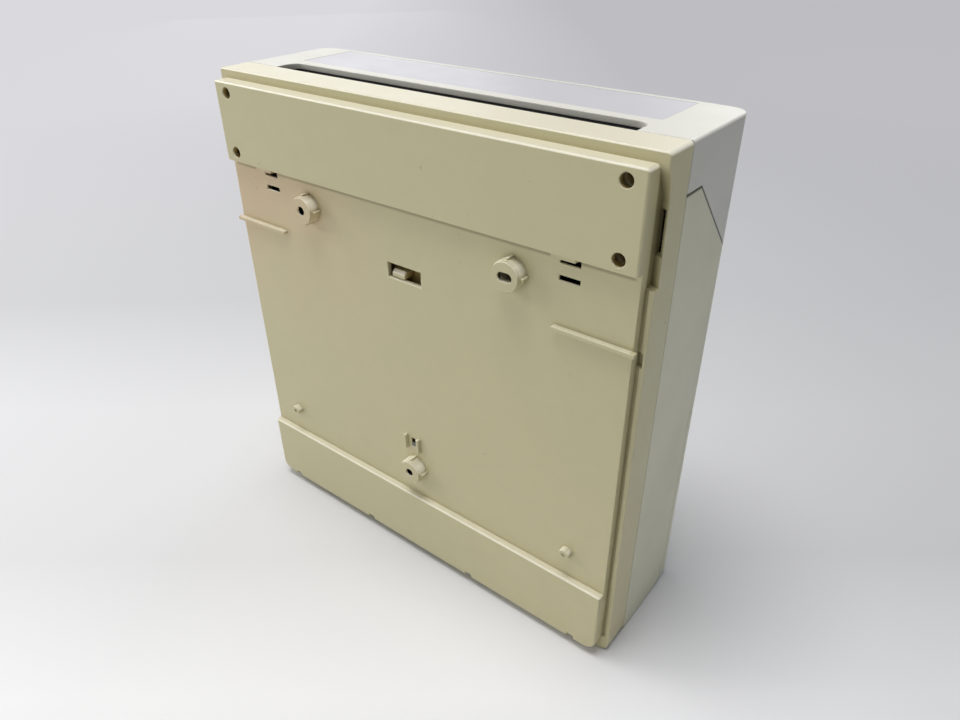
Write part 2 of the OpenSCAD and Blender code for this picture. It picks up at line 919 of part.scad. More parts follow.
module display_glass() {
    color([0.55, 0.62, 0.52])
        slab(frame_y + 0.2, frame_y + 0.2 + glass_t)
            translate([lens_x, panel_z])
                square([glass_w, glass_h], center = true);
}

module display_backlight() {
    color([0.93, 0.93, 0.90])
        slab(frame_y + 0.2 + glass_t, pcb_y)
            translate([lens_x, panel_z])
                square([light_w, light_h], center = true);
}

module contact_strips() {
    color([0.75, 0.55, 0.60])
        slab(frame_y + 0.2 + glass_t, pcb_y)
            for (side = [-1, 1])
                translate([lens_x, panel_z + side * (glass_h - strip_h) / 2])
                    square([glass_w - 6, strip_h], center = true);
}

key_flange_t = 1;
key_stem_d = 3;
switch_size = 6;
switch_h = 3.2;
plunger_h = 0.8;

// One round key: cap, flange behind the panel, and stem towards its switch
module key(i) {
    p = key_points[i];
    back = panel_back_y + 0.2;
    stem_end = pcb_y - switch_h - plunger_h - key_travel - 0.1;
    color(KEY_GREY) {
        difference() {
            rod(key_d, p.x, p.y, panel_y - 1.2, back + TINY);
            translate([p.x, panel_y - 1.2 - 13.6, p.y])
                sphere(r = 14);
        }
        rod(key_d + 2, p.x, p.y, back, back + key_flange_t);
        rod(key_stem_d, p.x, p.y, back, stem_end);
    }
}

module key_1() { key(0); }
module key_2() { key(1); }
module key_3() { key(2); }
module key_4() { key(3); }
module key_5() { key(4); }
module key_6() { key(5); }

module key_switches() {
    color(BLACK)
        for (p = key_points) {
            slab(pcb_y - switch_h, pcb_y)
                translate(p)
                    square(switch_size, center = true);
            rod(key_stem_d, p.x, p.y, pcb_y - switch_h - plunger_h, pcb_y - switch_h);
        }
}

slider_body_w = 8;
slider_body_h = 18;
slider_body_d = 4;

module slider(x) {
    cap_h = 7;
    cap_w = 6.4;
    color(HOOD_WHITE) {
        difference() {
            box([x - cap_w / 2, panel_y - 1.2, slider_z - cap_h / 2], [x + cap_w / 2, panel_y - 0.1, slider_z + cap_h / 2]);
            for (dz = [-1.8, 0, 1.8])
                box([x - cap_w, panel_y - 2, slider_z + dz - 0.35], [x + cap_w, panel_y - 0.9, slider_z + dz + 0.35]);
        }
        box([x - slider_stem_w / 2, panel_y - 0.2, slider_z - slider_stem_h / 2],
            [x + slider_stem_w / 2, pcb_y - 1.2, slider_z + slider_stem_h / 2]);
    }
}

module heating_slider() { slider(slider_x[0]); }
module water_slider() { slider(slider_x[1]); }

module slider_switches() {
    color(STEEL)
        for (x = slider_x)
            difference() {
                box([x - slider_body_w / 2, pcb_y - slider_body_d, slider_z - slider_body_h / 2],
                    [x + slider_body_w / 2, pcb_y, slider_z + slider_body_h / 2]);
                box([x - slider_slot_w / 2, pcb_y - slider_body_d - 1, slider_z - slot_half],
                    [x + slider_slot_w / 2, pcb_y - 1, slider_z + slot_half]);
            }
}

led_h = 2;

module light_pipes() {
    color([0.80, 0.85, 0.80])
        for (x = slider_x) {
            rod(pipe_d, x, pipe_z, panel_y - 0.2, panel_back_y);
            rod(pipe_d + 2, x, pipe_z, panel_back_y, pcb_y - led_h - 0.3);
        }
}

module indicator_leds() {
    color([0.75, 0.85, 0.45])
        for (x = slider_x)
            box([x - 1.6, pcb_y - led_h, pipe_z - 1.4], [x + 1.6, pcb_y, pipe_z + 1.4]);
}

pcb_back = pcb_y + pcb_t;

module display_board() {
    color(BOARD_GREEN)
        difference() {
            slab(pcb_y, pcb_back)
                translate([0, panel_z])
                    square([panel_w - 2, panel_h], center = true);
            for (x = display_post_x, dz = [-display_post_dz, display_post_dz])
                rod(2.6, x, panel_z + dz, pcb_y - 1, pcb_back + 1);
        }
}

module display_board_screws() {
    color(STEEL)
        for (x = display_post_x, dz = [-display_post_dz, display_post_dz])
            small_screw(2.2, x, panel_z + dz, pcb_back, 6);
}

module microcontroller() {
    color(BLACK)
        box([-60, pcb_back, panel_z - 8], [-44, pcb_back + 2.4, panel_z + 8]);
}

battery_x = 64;
battery_d = 20;
battery_t = 3.2;

module backup_battery() {
    color(STEEL)
        rod(battery_d, battery_x, panel_z, pcb_back + 1.3, pcb_back + 1.3 + battery_t);
}

module battery_holder() {
    size = battery_d + 4;
    color(BLACK)
        difference() {
            slab(pcb_back, pcb_back + 1.2 + battery_t)
                translate([battery_x, panel_z])
                    square([size, size - 6], center = true);
            rod(battery_d + 2 * seat_gap, battery_x, panel_z, pcb_back + 1.2, pcb_back + 20);
        }
}

// ----------------------------------------------------- rear electronics tray

board_y = tray_y - tray_t - 4;
board_front = board_y - pcb_t;
board_top = board_z + board_h;

module board_tray() {
    tongue_x = 3.9;
    tongue_w = 7;
    tongue_h = 2.2;
    rim = 3;
    color([0.80, 0.78, 0.66])
        difference() {
            union() {
                box([-board_w / 2 - rim, tray_y - tray_t, board_z - 1], [board_w / 2 + rim, tray_y, board_top + rim]);
                for (x = [-board_post_x, board_post_x], z = board_post_z)
                    rod(post_d, x, z, board_y, tray_y - TINY);
                box([tongue_x - tongue_w / 2, tray_y - TINY, window_z0 + 0.4],
                    [tongue_x + tongue_w / 2, y_recess - 0.8, window_z0 + tongue_h]);
                along_x(tongue_x - tongue_w / 2, tongue_x + tongue_w / 2)
                    polygon([
                        [y_floor + 0.4, window_z0 + tongue_h],
                        [y_recess - 0.8, window_z0 + tongue_h],
                        [y_floor + 0.4, window_z0 + tongue_h + 1.5]
                    ]);
                box([tongue_x - tongue_w / 2, tray_y - TINY, window_z0 + tongue_h - 0.1],
                    [tongue_x + tongue_w / 2, y_floor + 0.41, window_z0 + tongue_h + 1.2]);
            }
            for (x = [-tray_post_x, tray_post_x], z = tray_post_z)
                rod(small_screw_d + 0.6, x, z, tray_y - tray_t - 1, tray_y + 1);
            for (x = [-board_post_x, board_post_x], z = board_post_z)
                rod(small_hole_d, x, z, board_y - 1, tray_y - 0.8);
        }
}

module main_board() {
    color(BOARD_GREEN)
        difference() {
            box([-board_w / 2, board_front, board_z], [board_w / 2, board_y, board_top]);
            for (x = [-board_post_x, board_post_x], z = board_post_z)
                rod(small_screw_d + 0.4, x, z, board_front - 1, board_y + 1);
        }
}

// Screw along Y whose head rests on the plane y and whose shank points to +Y
module rear_screw(d, x, z, y, l) {
    mirror([0, 1, 0])
        small_screw(d, x, z, -y, l);
}

module main_board_screws() {
    color(STEEL)
        for (x = [-1, 1], i = [0, 1]) {
            rear_screw(small_screw_d, x * board_post_x, board_post_z[i], board_front, 6);
            rear_screw(small_screw_d, x * tray_post_x, tray_post_z[i], tray_y - tray_t, 5);
        }
}

core_x = -44;
core_z = board_top - 26;
core_w = 42;
core_h = 35;
core_t = 14;
core_leg = 12;
core_window = 24;
coil_d = 28;

module transformer_core() {
    window_w = (core_w - 2 * core_leg) / 2 - 2;
    y0 = board_front - coil_d / 2 - core_t / 2;
    color([0.42, 0.43, 0.46])
        difference() {
            box([core_x - core_w / 2, y0, core_z - core_h / 2], [core_x + core_w / 2, y0 + core_t, core_z + core_h / 2]);
            for (side = [-1, 1])
                translate([core_x + side * (core_leg / 2 + window_w / 2), 0, core_z])
                    box([-window_w / 2, y0 - 1, -core_window / 2], [window_w / 2, y0 + core_t + 1, core_window / 2]);
        }
}

module transformer_coil() {
    window_w = (core_w - 2 * core_leg) / 2 - 2;
    half = core_leg / 2 + window_w - seat_gap;
    y0 = board_front - coil_d;
    color(COPPER)
        difference() {
            box([core_x - half, y0, core_z - core_window / 2 + seat_gap],
                [core_x + half, board_front, core_z + core_window / 2 - seat_gap]);
            box([core_x - core_leg / 2 - seat_gap, y0 + coil_d / 2 - core_t / 2 - seat_gap, core_z - core_window],
                [core_x + core_leg / 2 + seat_gap, y0 + coil_d / 2 + core_t / 2 + seat_gap, core_z + core_window]);
        }
}

relay_x = [2, 27, 52];
relay_z = board_z + 24;

module relays() {
    color([0.20, 0.35, 0.60])
        for (x = relay_x)
            box([x - 10, board_front - 16, relay_z], [x + 10, board_front, relay_z + 22]);
}

fuse_x = -58;
fuse_z = board_z + 26;
fuse_y = board_front - 7;

module fuse_clips() {
    color(STEEL)
        for (side = [-1, 1])
            difference() {
                box([fuse_x + side * 7.5 - 2.5, fuse_y - 2.2, fuse_z - 3.6],
                    [fuse_x + side * 7.5 + 2.5, board_front, fuse_z + 3.6]);
                along_x(fuse_x - 11, fuse_x + 11)
                    translate([fuse_y, fuse_z])
                        circle(d = 5 + 2 * run_gap);
            }
}

module fuse() {
    color([0.85, 0.88, 0.88])
        along_x(fuse_x - 10, fuse_x + 10)
            translate([fuse_y, fuse_z])
                circle(d = 5);
}

module smoothing_capacitor() {
    color([0.12, 0.16, 0.30])
        rod(16, 2, board_top - 27, board_front - 25, board_front);
}

module filter_capacitor() {
    color([0.80, 0.65, 0.20])
        box([26, board_front - 17, board_top - 30], [52, board_front, board_top - 20]);
}

module varistor() {
    color([0.20, 0.35, 0.60])
        translate([-30, board_front - 8, fuse_z])
            rotate([0, 90, 0])
                cylinder(d = 12, h = 4, center = true);
    color(STEEL)
        for (dz = [-3, 3])
            box([-30.4, board_front - 3.2, fuse_z + dz - 0.4], [-29.6, board_front, fuse_z + dz + 0.4]);
}

header_w = 26;
header_z = board_top - 12;
header_x = 0;
ribbon_w = 22;
ribbon_t = 0.8;

module ribbon_headers() {
    color(BLACK) {
        box([header_x - header_w / 2, board_front - 9, header_z + 1], [header_x + header_w / 2, board_front, header_z + 8]);
        box([header_x - header_w / 2, pcb_back, header_z + 1], [header_x + header_w / 2, pcb_back + 8, header_z + 8]);
    }
}

// The cable hangs in one shallow arc between the two headers
module ribbon_cable() {
    y0 = pcb_back + 8;
    y1 = board_front - 9;
    sag = 5;
    chord = y1 - y0;
    r = (chord * chord / 4 + sag * sag) / (2 * sag);
    mid_z = header_z + 4.5;
    color([0.60, 0.60, 0.62])
        along_x(header_x - ribbon_w / 2, header_x + ribbon_w / 2)
            intersection() {
                translate([(y0 + y1) / 2, mid_z - sag + r])
                    difference() {
                        circle(r, $fn = 128);
                        circle(r - ribbon_t, $fn = 128);
                    }
                translate([y0, mid_z - sag - 2])
                    square([chord, sag + 6]);
            }
}

// ------------------------------------------------------------------- wiring

term_y = board_front - 15;
term_z = board_z + 1;
term_h = 13;
term_screw_d = 4.2;
supply_x = -board_w / 2 + 6;
load_x = supply_x + 3 * term_pitch + 8;
sensor_x = load_x + 6 * term_pitch + 8;

// Row of n screw terminals that starts at x; wires enter from below
module terminal_row(x, n) {
    difference() {
        box([x, term_y, term_z], [x + n * term_pitch, board_front, term_z + term_h]);
        for (i = [0 : n - 1]) {
            cx = x + (i + 0.5) * term_pitch;
            rod(term_screw_d + 2 * seat_gap, cx, term_z + 7, term_y - 1, term_y + 8);
            box([cx - 2.4, term_y + 5, term_z - 1], [cx + 2.4, term_y + 10, term_z + 6]);
        }
    }
}

module supply_terminals() {
    color([0.35, 0.36, 0.38])
        terminal_row(supply_x, 3);
}

module load_terminals() {
    color([0.35, 0.36, 0.38])
        terminal_row(load_x, 6);
}

module sensor_terminals() {
    color([0.25, 0.50, 0.35])
        terminal_row(sensor_x, 3);
}

module terminal_screws() {
    rows = [[supply_x, 3], [load_x, 6], [sensor_x, 3]];
    color(STEEL)
        for (row = rows, i = [0 : row[1] - 1]) {
            cx = row[0] + (i + 0.5) * term_pitch;
            difference() {
                rod(term_screw_d, cx, term_z + 7, term_y + 1.4, term_y + 7.8);
                box([cx - 3, term_y, term_z + 6.6], [cx + 3, term_y + 2.2, term_z + 7.4]);
            }
        }
}

clamp_t = 3;

module cable_clamps() {
    color([0.45, 0.46, 0.48])
        for (x = [-clamp_x, clamp_x])
            difference() {
                slab(clamp_y - clamp_t, clamp_y)
                    translate([x, clamp_z])
                        square([clamp_span + 9, 9], center = true);
                for (side = [-1, 1])
                    rod(small_screw_d + 0.4, x + side * clamp_span / 2, clamp_z, clamp_y - clamp_t - 1, clamp_y + 1);
            }
}

module clamp_screws() {
    color(STEEL)
        for (x = [-clamp_x, clamp_x], side = [-1, 1])
            rear_screw(small_screw_d, x + side * clamp_span / 2, clamp_z, clamp_y - clamp_t, 10);
}

grommet_bore_d = 8;

module cable_grommets() {
    color(BLACK)
        both_sides()
            translate([grommet_x, grommet_y, 0])
                difference() {
                    union() {
                        translate([0, 0, 0.1])
                            cylinder(d = grommet_hole_d - 2 * seat_gap, h = wall + 1);
                        translate([0, 0, wall + 0.1])
                            cylinder(d = grommet_hole_d + 4, h = 1.6);
                    }
                    translate([0, 0, -1])
                        cylinder(d = grommet_bore_d, h = wall + 5);
                }
}

back_shell();
front_housing();
top_hood();
top_label();
card_pocket();
case_screws();
front_door();
door_hinge_pins();
control_panel();
panel_screws();
display_lens();
display_frame();
display_glass();
display_backlight();
contact_strips();
key_1();
key_2();
key_3();
key_4();
key_5();
key_6();
key_switches();
heating_slider();
water_slider();
slider_switches();
light_pipes();
indicator_leds();
display_board();
display_board_screws();
microcontroller();
backup_battery();
battery_holder();
board_tray();
main_board();
main_board_screws();
transformer_core();
transformer_coil();
relays();
fuse_clips();
fuse();
smoothing_capacitor();
filter_capacitor();
varistor();
ribbon_headers();
ribbon_cable();
supply_terminals();
load_terminals();
sensor_terminals();
terminal_screws();
cable_clamps();
clamp_screws();
cable_grommets();
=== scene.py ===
import json
import math

import bmesh
import bpy
from mathutils import Matrix, Vector


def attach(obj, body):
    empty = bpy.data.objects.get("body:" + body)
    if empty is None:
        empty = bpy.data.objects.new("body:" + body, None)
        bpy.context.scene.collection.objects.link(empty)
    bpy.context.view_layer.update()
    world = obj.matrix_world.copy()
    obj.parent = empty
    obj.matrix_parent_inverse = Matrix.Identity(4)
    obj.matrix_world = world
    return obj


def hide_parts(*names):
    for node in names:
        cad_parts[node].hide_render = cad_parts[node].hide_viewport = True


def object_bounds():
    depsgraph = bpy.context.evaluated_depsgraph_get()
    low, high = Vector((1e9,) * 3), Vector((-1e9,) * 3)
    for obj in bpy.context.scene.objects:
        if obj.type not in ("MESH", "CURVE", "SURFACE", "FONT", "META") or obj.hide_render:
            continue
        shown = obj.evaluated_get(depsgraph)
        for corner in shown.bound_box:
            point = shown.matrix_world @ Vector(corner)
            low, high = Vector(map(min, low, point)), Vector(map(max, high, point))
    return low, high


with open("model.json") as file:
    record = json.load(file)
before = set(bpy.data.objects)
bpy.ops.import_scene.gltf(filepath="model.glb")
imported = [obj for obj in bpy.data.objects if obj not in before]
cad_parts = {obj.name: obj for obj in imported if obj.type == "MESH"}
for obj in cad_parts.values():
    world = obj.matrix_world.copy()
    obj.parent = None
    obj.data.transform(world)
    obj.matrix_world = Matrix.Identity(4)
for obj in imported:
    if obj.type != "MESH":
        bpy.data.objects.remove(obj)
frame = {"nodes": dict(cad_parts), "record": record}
cad_low, cad_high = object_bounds()

MM = 0.001
record = frame["record"]
nodes = frame["nodes"]
body_of = {n: b for b, members in record["behaviour"]["bodies"].items() for n in members}
slot_of = {s["node"]: s["material_slot"] for s in record["subparts"]}

# ------------------------------------------------------------------ node helpers


class Graph:
    """A material's node tree with short ways to add and join nodes."""

    def __init__(self, name):
        self.material = bpy.data.materials.new(name)
        self.material.use_nodes = True
        self.tree = self.material.node_tree
        self.tree.nodes.clear()
        out = self.tree.nodes.new("ShaderNodeOutputMaterial")
        self.shader = self.tree.nodes.new("ShaderNodeBsdfPrincipled")
        self.join(self.shader.outputs[0], out.inputs["Surface"])
        self.coords = self.tree.nodes.new("ShaderNodeTexCoord").outputs["Object"]

    def join(self, a, b):
        self.tree.links.new(a, b)

    def put(self, value, socket):
        if isinstance(value, bpy.types.NodeSocket):
            self.join(value, socket)
        else:
            socket.default_value = value

    def scaled(self, scale):
        """Object coordinates in metres, stretched by the scale on each axis."""
        n = self.tree.nodes.new("ShaderNodeMapping")
        n.inputs["Scale"].default_value = scale
        self.join(self.coords, n.inputs["Vector"])
        return n.outputs[0]

    def noise(self, scale, detail=2.0, rough=0.5, vector=None, offset=0.0):
        n = self.tree.nodes.new("ShaderNodeTexNoise")
        n.noise_dimensions = "4D"
        n.inputs["W"].default_value = offset
        n.inputs["Scale"].default_value = scale
        n.inputs["Detail"].default_value = detail
        n.inputs["Roughness"].default_value = rough
        self.join(vector or self.coords, n.inputs["Vector"])
        return n.outputs["Fac"]

    def cells(self, scale, feature="F1", vector=None):
        n = self.tree.nodes.new("ShaderNodeTexVoronoi")
        n.feature = feature
        n.inputs["Scale"].default_value = scale
        self.join(vector or self.coords, n.inputs["Vector"])
        return n.outputs["Distance"]

    def remap(self, value, low, high, to_low=0.0, to_high=1.0):
        n = self.tree.nodes.new("ShaderNodeMapRange")
        limits = {"From Min": low, "From Max": high, "To Min": to_low, "To Max": to_high}
        for key, number in limits.items():
            n.inputs[key].default_value = number
        self.join(value, n.inputs["Value"])
        return n.outputs[0]

    def math(self, kind, a, b=0.0):
        n = self.tree.nodes.new("ShaderNodeMath")
        n.operation = kind
        self.put(a, n.inputs[0])
        self.put(b, n.inputs[1])
        return n.outputs[0]

    def mix(self, share, a, b, blend="MIX"):
        n = self.tree.nodes.new("ShaderNodeMix")
        n.data_type = "RGBA"
        n.blend_type = blend
        n.clamp_factor = True
        self.put(share, n.inputs[0])
        self.put(rgba(a), n.inputs[6])
        self.put(rgba(b), n.inputs[7])
        return n.outputs[2]

    def axis(self, index, vector=None):
        n = self.tree.nodes.new("ShaderNodeSeparateXYZ")
        self.join(vector or self.coords, n.inputs[0])
        return n.outputs[index]

    def all_of(self, *shares):
        """The product of several 0 to 1 values."""
        product = shares[0]
        for share in shares[1:]:
            product = self.math("MULTIPLY", product, share)
        return product

    def stripes(self, index, pitch, soft=0.5):
        """0 to 1 lines across one object axis, a pitch in metres apart."""
        wave = self.math("SINE", self.math("MULTIPLY", self.axis(index), 2 * math.pi / pitch))
        return self.remap(wave, -soft, soft)

    def occlusion_shade(self, distance):
        """Painted shade: 1 in tight inner corners, 0 on open faces."""
        n = self.tree.nodes.new("ShaderNodeAmbientOcclusion")
        n.samples = 8
        n.only_local = True
        n.inputs["Distance"].default_value = distance
        return self.remap(n.outputs["AO"], 0.25, 0.85, 1.0, 0.0)

    def upward(self):
        """How far the surface faces up, from -1 to 1."""
        return self.axis(2, self.tree.nodes.new("ShaderNodeTexCoord").outputs["Normal"])

    def bump(self, height, distance, strength=1.0, normal=None):
        n = self.tree.nodes.new("ShaderNodeBump")
        n.inputs["Strength"].default_value = strength
        n.inputs["Distance"].default_value = distance
        self.join(height, n.inputs["Height"])
        if normal is not None:
            self.join(normal, n.inputs["Normal"])
        return n.outputs[0]

    def finish(self, colour, rough, normal=None, **constants):
        self.put(rgba(colour), self.shader.inputs["Base Color"])
        self.put(rough, self.shader.inputs["Roughness"])
        if normal is not None:
            self.join(normal, self.shader.inputs["Normal"])
        for key, number in constants.items():
            self.shader.inputs[key.replace("_", " ")].default_value = number
        return self.material


def rgba(colour):
    if isinstance(colour, tuple) and len(colour) == 3:
        return (*colour, 1.0)
    return colour


def shade(colour, share):
    return tuple(c * share for c in colour)


# --------------------------------------------------------------------- materials


def moulded(name, colour, rough, drift=0.05, joint=None):
    """Injection-moulded plastic: fine spark texture, uneven colour and sheen, painted shade in inner
    corners and along a joint.
    """
    g = Graph(name)
    cloud = g.remap(g.noise(22, 3), 0.35, 0.65)
    base = g.mix(cloud, shade(colour, 1 - drift), shade(colour, 1 + drift))
    speck = g.remap(g.noise(1900, 1), 0.2, 0.8)
    base = g.mix(g.math("MULTIPLY", speck, 0.10), base, shade(colour, 0.80))
    # Painted shade in inner corners.
    base = g.mix(g.math("MULTIPLY", g.occlusion_shade(0.0025), 0.35), base, shade(colour, 0.45))
    # Painted shade: a dark line along the hood joint, standing in for the shade in the gap.
    if joint:
        level_end, level, half_width = joint
        drop = g.math("MINIMUM", g.math("SUBTRACT", g.axis(1), level_end), 0.0)
        off = g.math("ABSOLUTE", g.math("SUBTRACT", g.math("SUBTRACT", g.axis(2), level), drop))
        line = g.all_of(
            g.remap(off, half_width * 0.4, half_width, 1.0, 0.0),
            g.remap(g.noise(150, 3), 0.2, 0.5, 0.6, 1.0),
        )
        base = g.mix(g.math("MULTIPLY", line, 0.8), base, (0.13, 0.12, 0.085))
    gloss = g.remap(g.noise(60, 3), 0.3, 0.7, rough - 0.05, rough + 0.06)
    flow = g.bump(g.noise(45, 2), 0.0006, 0.25)
    fine = g.bump(g.noise(1500, 2), 0.00012, 0.5, flow)
    return g.finish(base, gloss, fine)


# Places on the shell in metres, for the masks below
WELL_ASIDE = 0.0982
WELL_LEVELS = (0.2191, 0.1931)
CHANNEL_TOP = (0.2225, 0.2235)
LEDGE_LINE = 0.1869


def yellowed_shell():
    """Aged cream moulding: peach and olive drifts, scuffs and specks, with painted light: painted shade in
    the channel, screw wells, recesses, corners and under the ledge, paler tops and painted highlights on
    edges.
    """
    g = Graph("cream_shell")
    cream = (0.636, 0.580, 0.350)
    peach = (0.690, 0.538, 0.335)
    olive = (0.588, 0.562, 0.340)
    x, y, z = g.axis(0), g.axis(1), g.axis(2)
    aside = g.math("ABSOLUTE", x)
    base = g.mix(g.remap(g.noise(6, 2, offset=4.0), 0.42, 0.68, 0.0, 0.8), cream, olive)
    corner = g.all_of(
        g.remap(x, 0.0, 0.075), g.remap(z, 0.10, 0.17), g.remap(z, 0.1875, 0.1895, 1.0, 0.0),
        g.remap(g.noise(16, 3), 0.25, 0.5),
    )
    base = g.mix(corner, base, peach)
    base = g.mix(g.math("MULTIPLY", g.remap(g.noise(120, 4), 0.3, 0.7), 0.10), base, shade(cream, 0.80))
    scuff = g.all_of(
        g.remap(g.noise(1.0, 4, 0.7, g.scaled((60, 60, 420))), 0.66, 0.74),
        g.remap(g.noise(14, 1, offset=9.0), 0.52, 0.60),
    )
    base = g.mix(g.math("MULTIPLY", scuff, 0.25), base, (0.80, 0.76, 0.60))
    dirt = g.all_of(
        g.remap(g.noise(420, 2, offset=2.0), 0.70, 0.74),
        g.remap(g.noise(30, 2, offset=7.0), 0.50, 0.62),
    )
    base = g.mix(g.math("MULTIPLY", dirt, 0.45), base, (0.20, 0.16, 0.09))
    # Painted shade in the side channel, heavier towards the top.
    channel = g.all_of(
        g.remap(aside, 0.1048, 0.1054), g.remap(aside, 0.1058, 0.1088, 1.0, 0.0),
        g.remap(y, 0.0277, 0.0266), g.remap(y, 0.0215, 0.0225),
        g.remap(z, *CHANNEL_TOP, 1.0, 0.0), g.remap(z, 0.165, 0.185, 0.35, 0.85),
    )
    base = g.mix(channel, base, (0.24, 0.215, 0.105))
    in_channel = g.all_of(g.remap(aside, 0.1050, 0.1055), g.remap(z, *CHANNEL_TOP, 1.0, 0.0))
    # Up-facing faces painted paler: painted top light, with some dust; the channel is left out.
    top = g.all_of(g.remap(g.upward(), 0.55, 0.9), g.math("SUBTRACT", 1.0, in_channel))
    base = g.mix(g.math("MULTIPLY", top, 0.75), base, (0.74, 0.70, 0.57))
    # Painted highlight on rounded edges that face partly up.
    painted_edge_highlight = g.all_of(g.remap(g.upward(), 0.12, 0.35), g.remap(g.upward(), 0.75, 0.92, 1.0, 0.0))
    base = g.mix(g.math("MULTIPLY", painted_edge_highlight, 0.85), base, (0.95, 0.91, 0.77))
    # Painted warm shade inside the screw wells.
    well_z = g.math("MINIMUM", *[g.math("ABSOLUTE", g.math("SUBTRACT", z, level)) for level in WELL_LEVELS])
    well_shade = g.all_of(
        g.remap(g.math("ABSOLUTE", g.math("SUBTRACT", aside, WELL_ASIDE)), 0.0042, 0.0044, 1.0, 0.0),
        g.remap(well_z, 0.0042, 0.0044, 1.0, 0.0),
        g.remap(y, 0.0340, 0.0330), g.remap(y, 0.0300, 0.0306),
    )
    base = g.mix(g.math("MULTIPLY", well_shade, 0.9), base, (0.40, 0.285, 0.075))
    # Painted warm shade on surfaces sunk inside the block.
    deep_shade = g.all_of(
        g.remap(y, 0.0305, 0.0270), g.remap(aside, 0.1048, 0.1054, 1.0, 0.0),
        g.remap(z, 0.0035, 0.0060), g.remap(z, 0.2215, 0.2205, 0.0, 1.0),
    )
    base = g.mix(g.math("MULTIPLY", deep_shade, 0.85), base, (0.50, 0.36, 0.11))
    # Painted shadow line under the band's ledge.
    ledge = g.all_of(
        g.remap(g.math("ABSOLUTE", g.math("SUBTRACT", z, LEDGE_LINE)), 0.0003, 0.0011, 1.0, 0.0),
        g.remap(y, 0.0312, 0.0316, 1.0, 0.0), g.remap(aside, 0.1030, 0.1045, 1.0, 0.0),
        g.remap(y, 0.0305, 0.0309),
    )
    base = g.mix(g.math("MULTIPLY", ledge, 0.55), base, (0.25, 0.215, 0.11))
    # Painted shade in inner corners, weaker on up-facing faces.
    corner_shade = g.all_of(g.occlusion_shade(0.003), g.remap(g.upward(), 0.3, 0.8, 1.0, 0.15), 0.5)
    base = g.mix(corner_shade, base, (0.26, 0.215, 0.10))
    gloss = g.math("ADD", g.remap(g.noise(45, 3), 0.3, 0.7, 0.31, 0.41), g.math("MULTIPLY", scuff, 0.15))
    flow = g.bump(g.noise(38, 2), 0.0006, 0.25)
    fine = g.bump(g.noise(1500, 2), 0.00012, 0.5, flow)
    return g.finish(base, gloss, fine)


def printed_label():
    """Bare label stock with a faint ripple from the surface under it."""
    g = Graph("label")
    base = g.mix(g.remap(g.noise(14, 3), 0.35, 0.65), (0.530, 0.524, 0.560), (0.560, 0.553, 0.590))
    base = g.mix(g.math("MULTIPLY", g.remap(g.noise(700, 2), 0.6, 0.72), 0.15), base, (0.45, 0.45, 0.48))
    ripple = g.bump(g.noise(70, 2), 0.0003, 0.3)
    fine = g.bump(g.noise(2600, 1), 0.00004, 0.4, ripple)
    return g.finish(base, g.remap(g.noise(90, 3), 0.3, 0.7, 0.30, 0.40), fine)


def zinc_steel(name, colour, rough):
    """Plated steel with fine streaks along one axis and painted shade in inner corners."""
    g = Graph(name)
    streak = g.noise(1.0, 3, 0.6, g.scaled((300, 300, 2600)))
    base = g.mix(g.remap(streak, 0.3, 0.7), shade(colour, 0.85), colour)
    # Painted shade in inner corners.
    base = g.mix(g.math("MULTIPLY", g.occlusion_shade(0.0015), 0.5), base, shade(colour, 0.35))
    gloss = g.remap(streak, 0.3, 0.7, rough - 0.07, rough + 0.1)
    return g.finish(base, gloss, g.bump(streak, 0.00008, 0.5), Metallic=1.0)


def circuit_board():
    """Solder mask over copper tracks on a coarse grid, with tinned pads."""
    g = Graph("board_green")
    track_cells = g.cells(1.0, "DISTANCE_TO_EDGE", g.scaled((150, 150, 150)))
    track = g.remap(track_cells, 0.05, 0.09)
    base = g.mix(track, (0.045, 0.21, 0.085), (0.022, 0.135, 0.052))
    pads = g.remap(g.cells(420), 0.22, 0.26)
    few = g.remap(g.noise(90, 1), 0.58, 0.60)
    base = g.mix(g.math("MULTIPLY", g.math("SUBTRACT", 1.0, pads), few), base, (0.62, 0.60, 0.55))
    return g.finish(base, g.remap(track_cells, 0.05, 0.09, 0.22, 0.32), g.bump(track, 0.00005, 0.5))


def banded(name, colour, other, index, pitch, rough, **constants):
    """Thin layers or strands side by side along one axis."""
    g = Graph(name)
    line = g.stripes(index, pitch)
    base = g.mix(line, other, colour)
    base = g.mix(g.math("MULTIPLY", g.remap(g.noise(260, 3), 0.4, 0.7), 0.25), base, shade(colour, 0.6))
    return g.finish(base, rough, g.bump(line, 0.0002, 0.7), **constants)


def clear_plastic(name, colour, rough, **constants):
    """Smooth glossy plastic or glass with faint smears."""
    g = Graph(name)
    smear = g.remap(g.noise(40, 4), 0.35, 0.7, rough, rough + 0.06)
    base = g.mix(g.remap(g.noise(25, 2), 0.3, 0.7), shade(colour, 0.96), colour)
    return g.finish(base, smear, g.bump(g.noise(55, 1), 0.0002, 0.1), **constants)


def display_cell():
    """Grey-green cell with a faint polariser grain."""
    g = Graph("display_glass")
    base = g.mix(g.remap(g.noise(18, 2), 0.3, 0.7), (0.235, 0.275, 0.205), (0.265, 0.305, 0.230))
    base = g.mix(g.math("MULTIPLY", g.stripes(0, 0.0008), 0.06), base, (0.12, 0.15, 0.11))
    gloss = g.remap(g.noise(60, 3), 0.3, 0.7, 0.14, 0.2)
    return g.finish(base, gloss, g.bump(g.noise(900, 1), 0.00003, 0.2))


def rubber(name, colour):
    """Matt rubber with a dusty bloom."""
    g = Graph(name)
    bloom = g.remap(g.noise(180, 4), 0.4, 0.7)
    base = g.mix(g.math("MULTIPLY", bloom, 0.5), colour, shade(colour, 2.2))
    return g.finish(base, g.remap(bloom, 0, 1, 0.62, 0.8), g.bump(g.noise(1400, 2), 0.0001, 0.5))


# Where the joint's level run ends in Y, its height, and half the width of the painted shade in it
HOOD_JOINT = (0.0007, 0.2103, 0.0009)

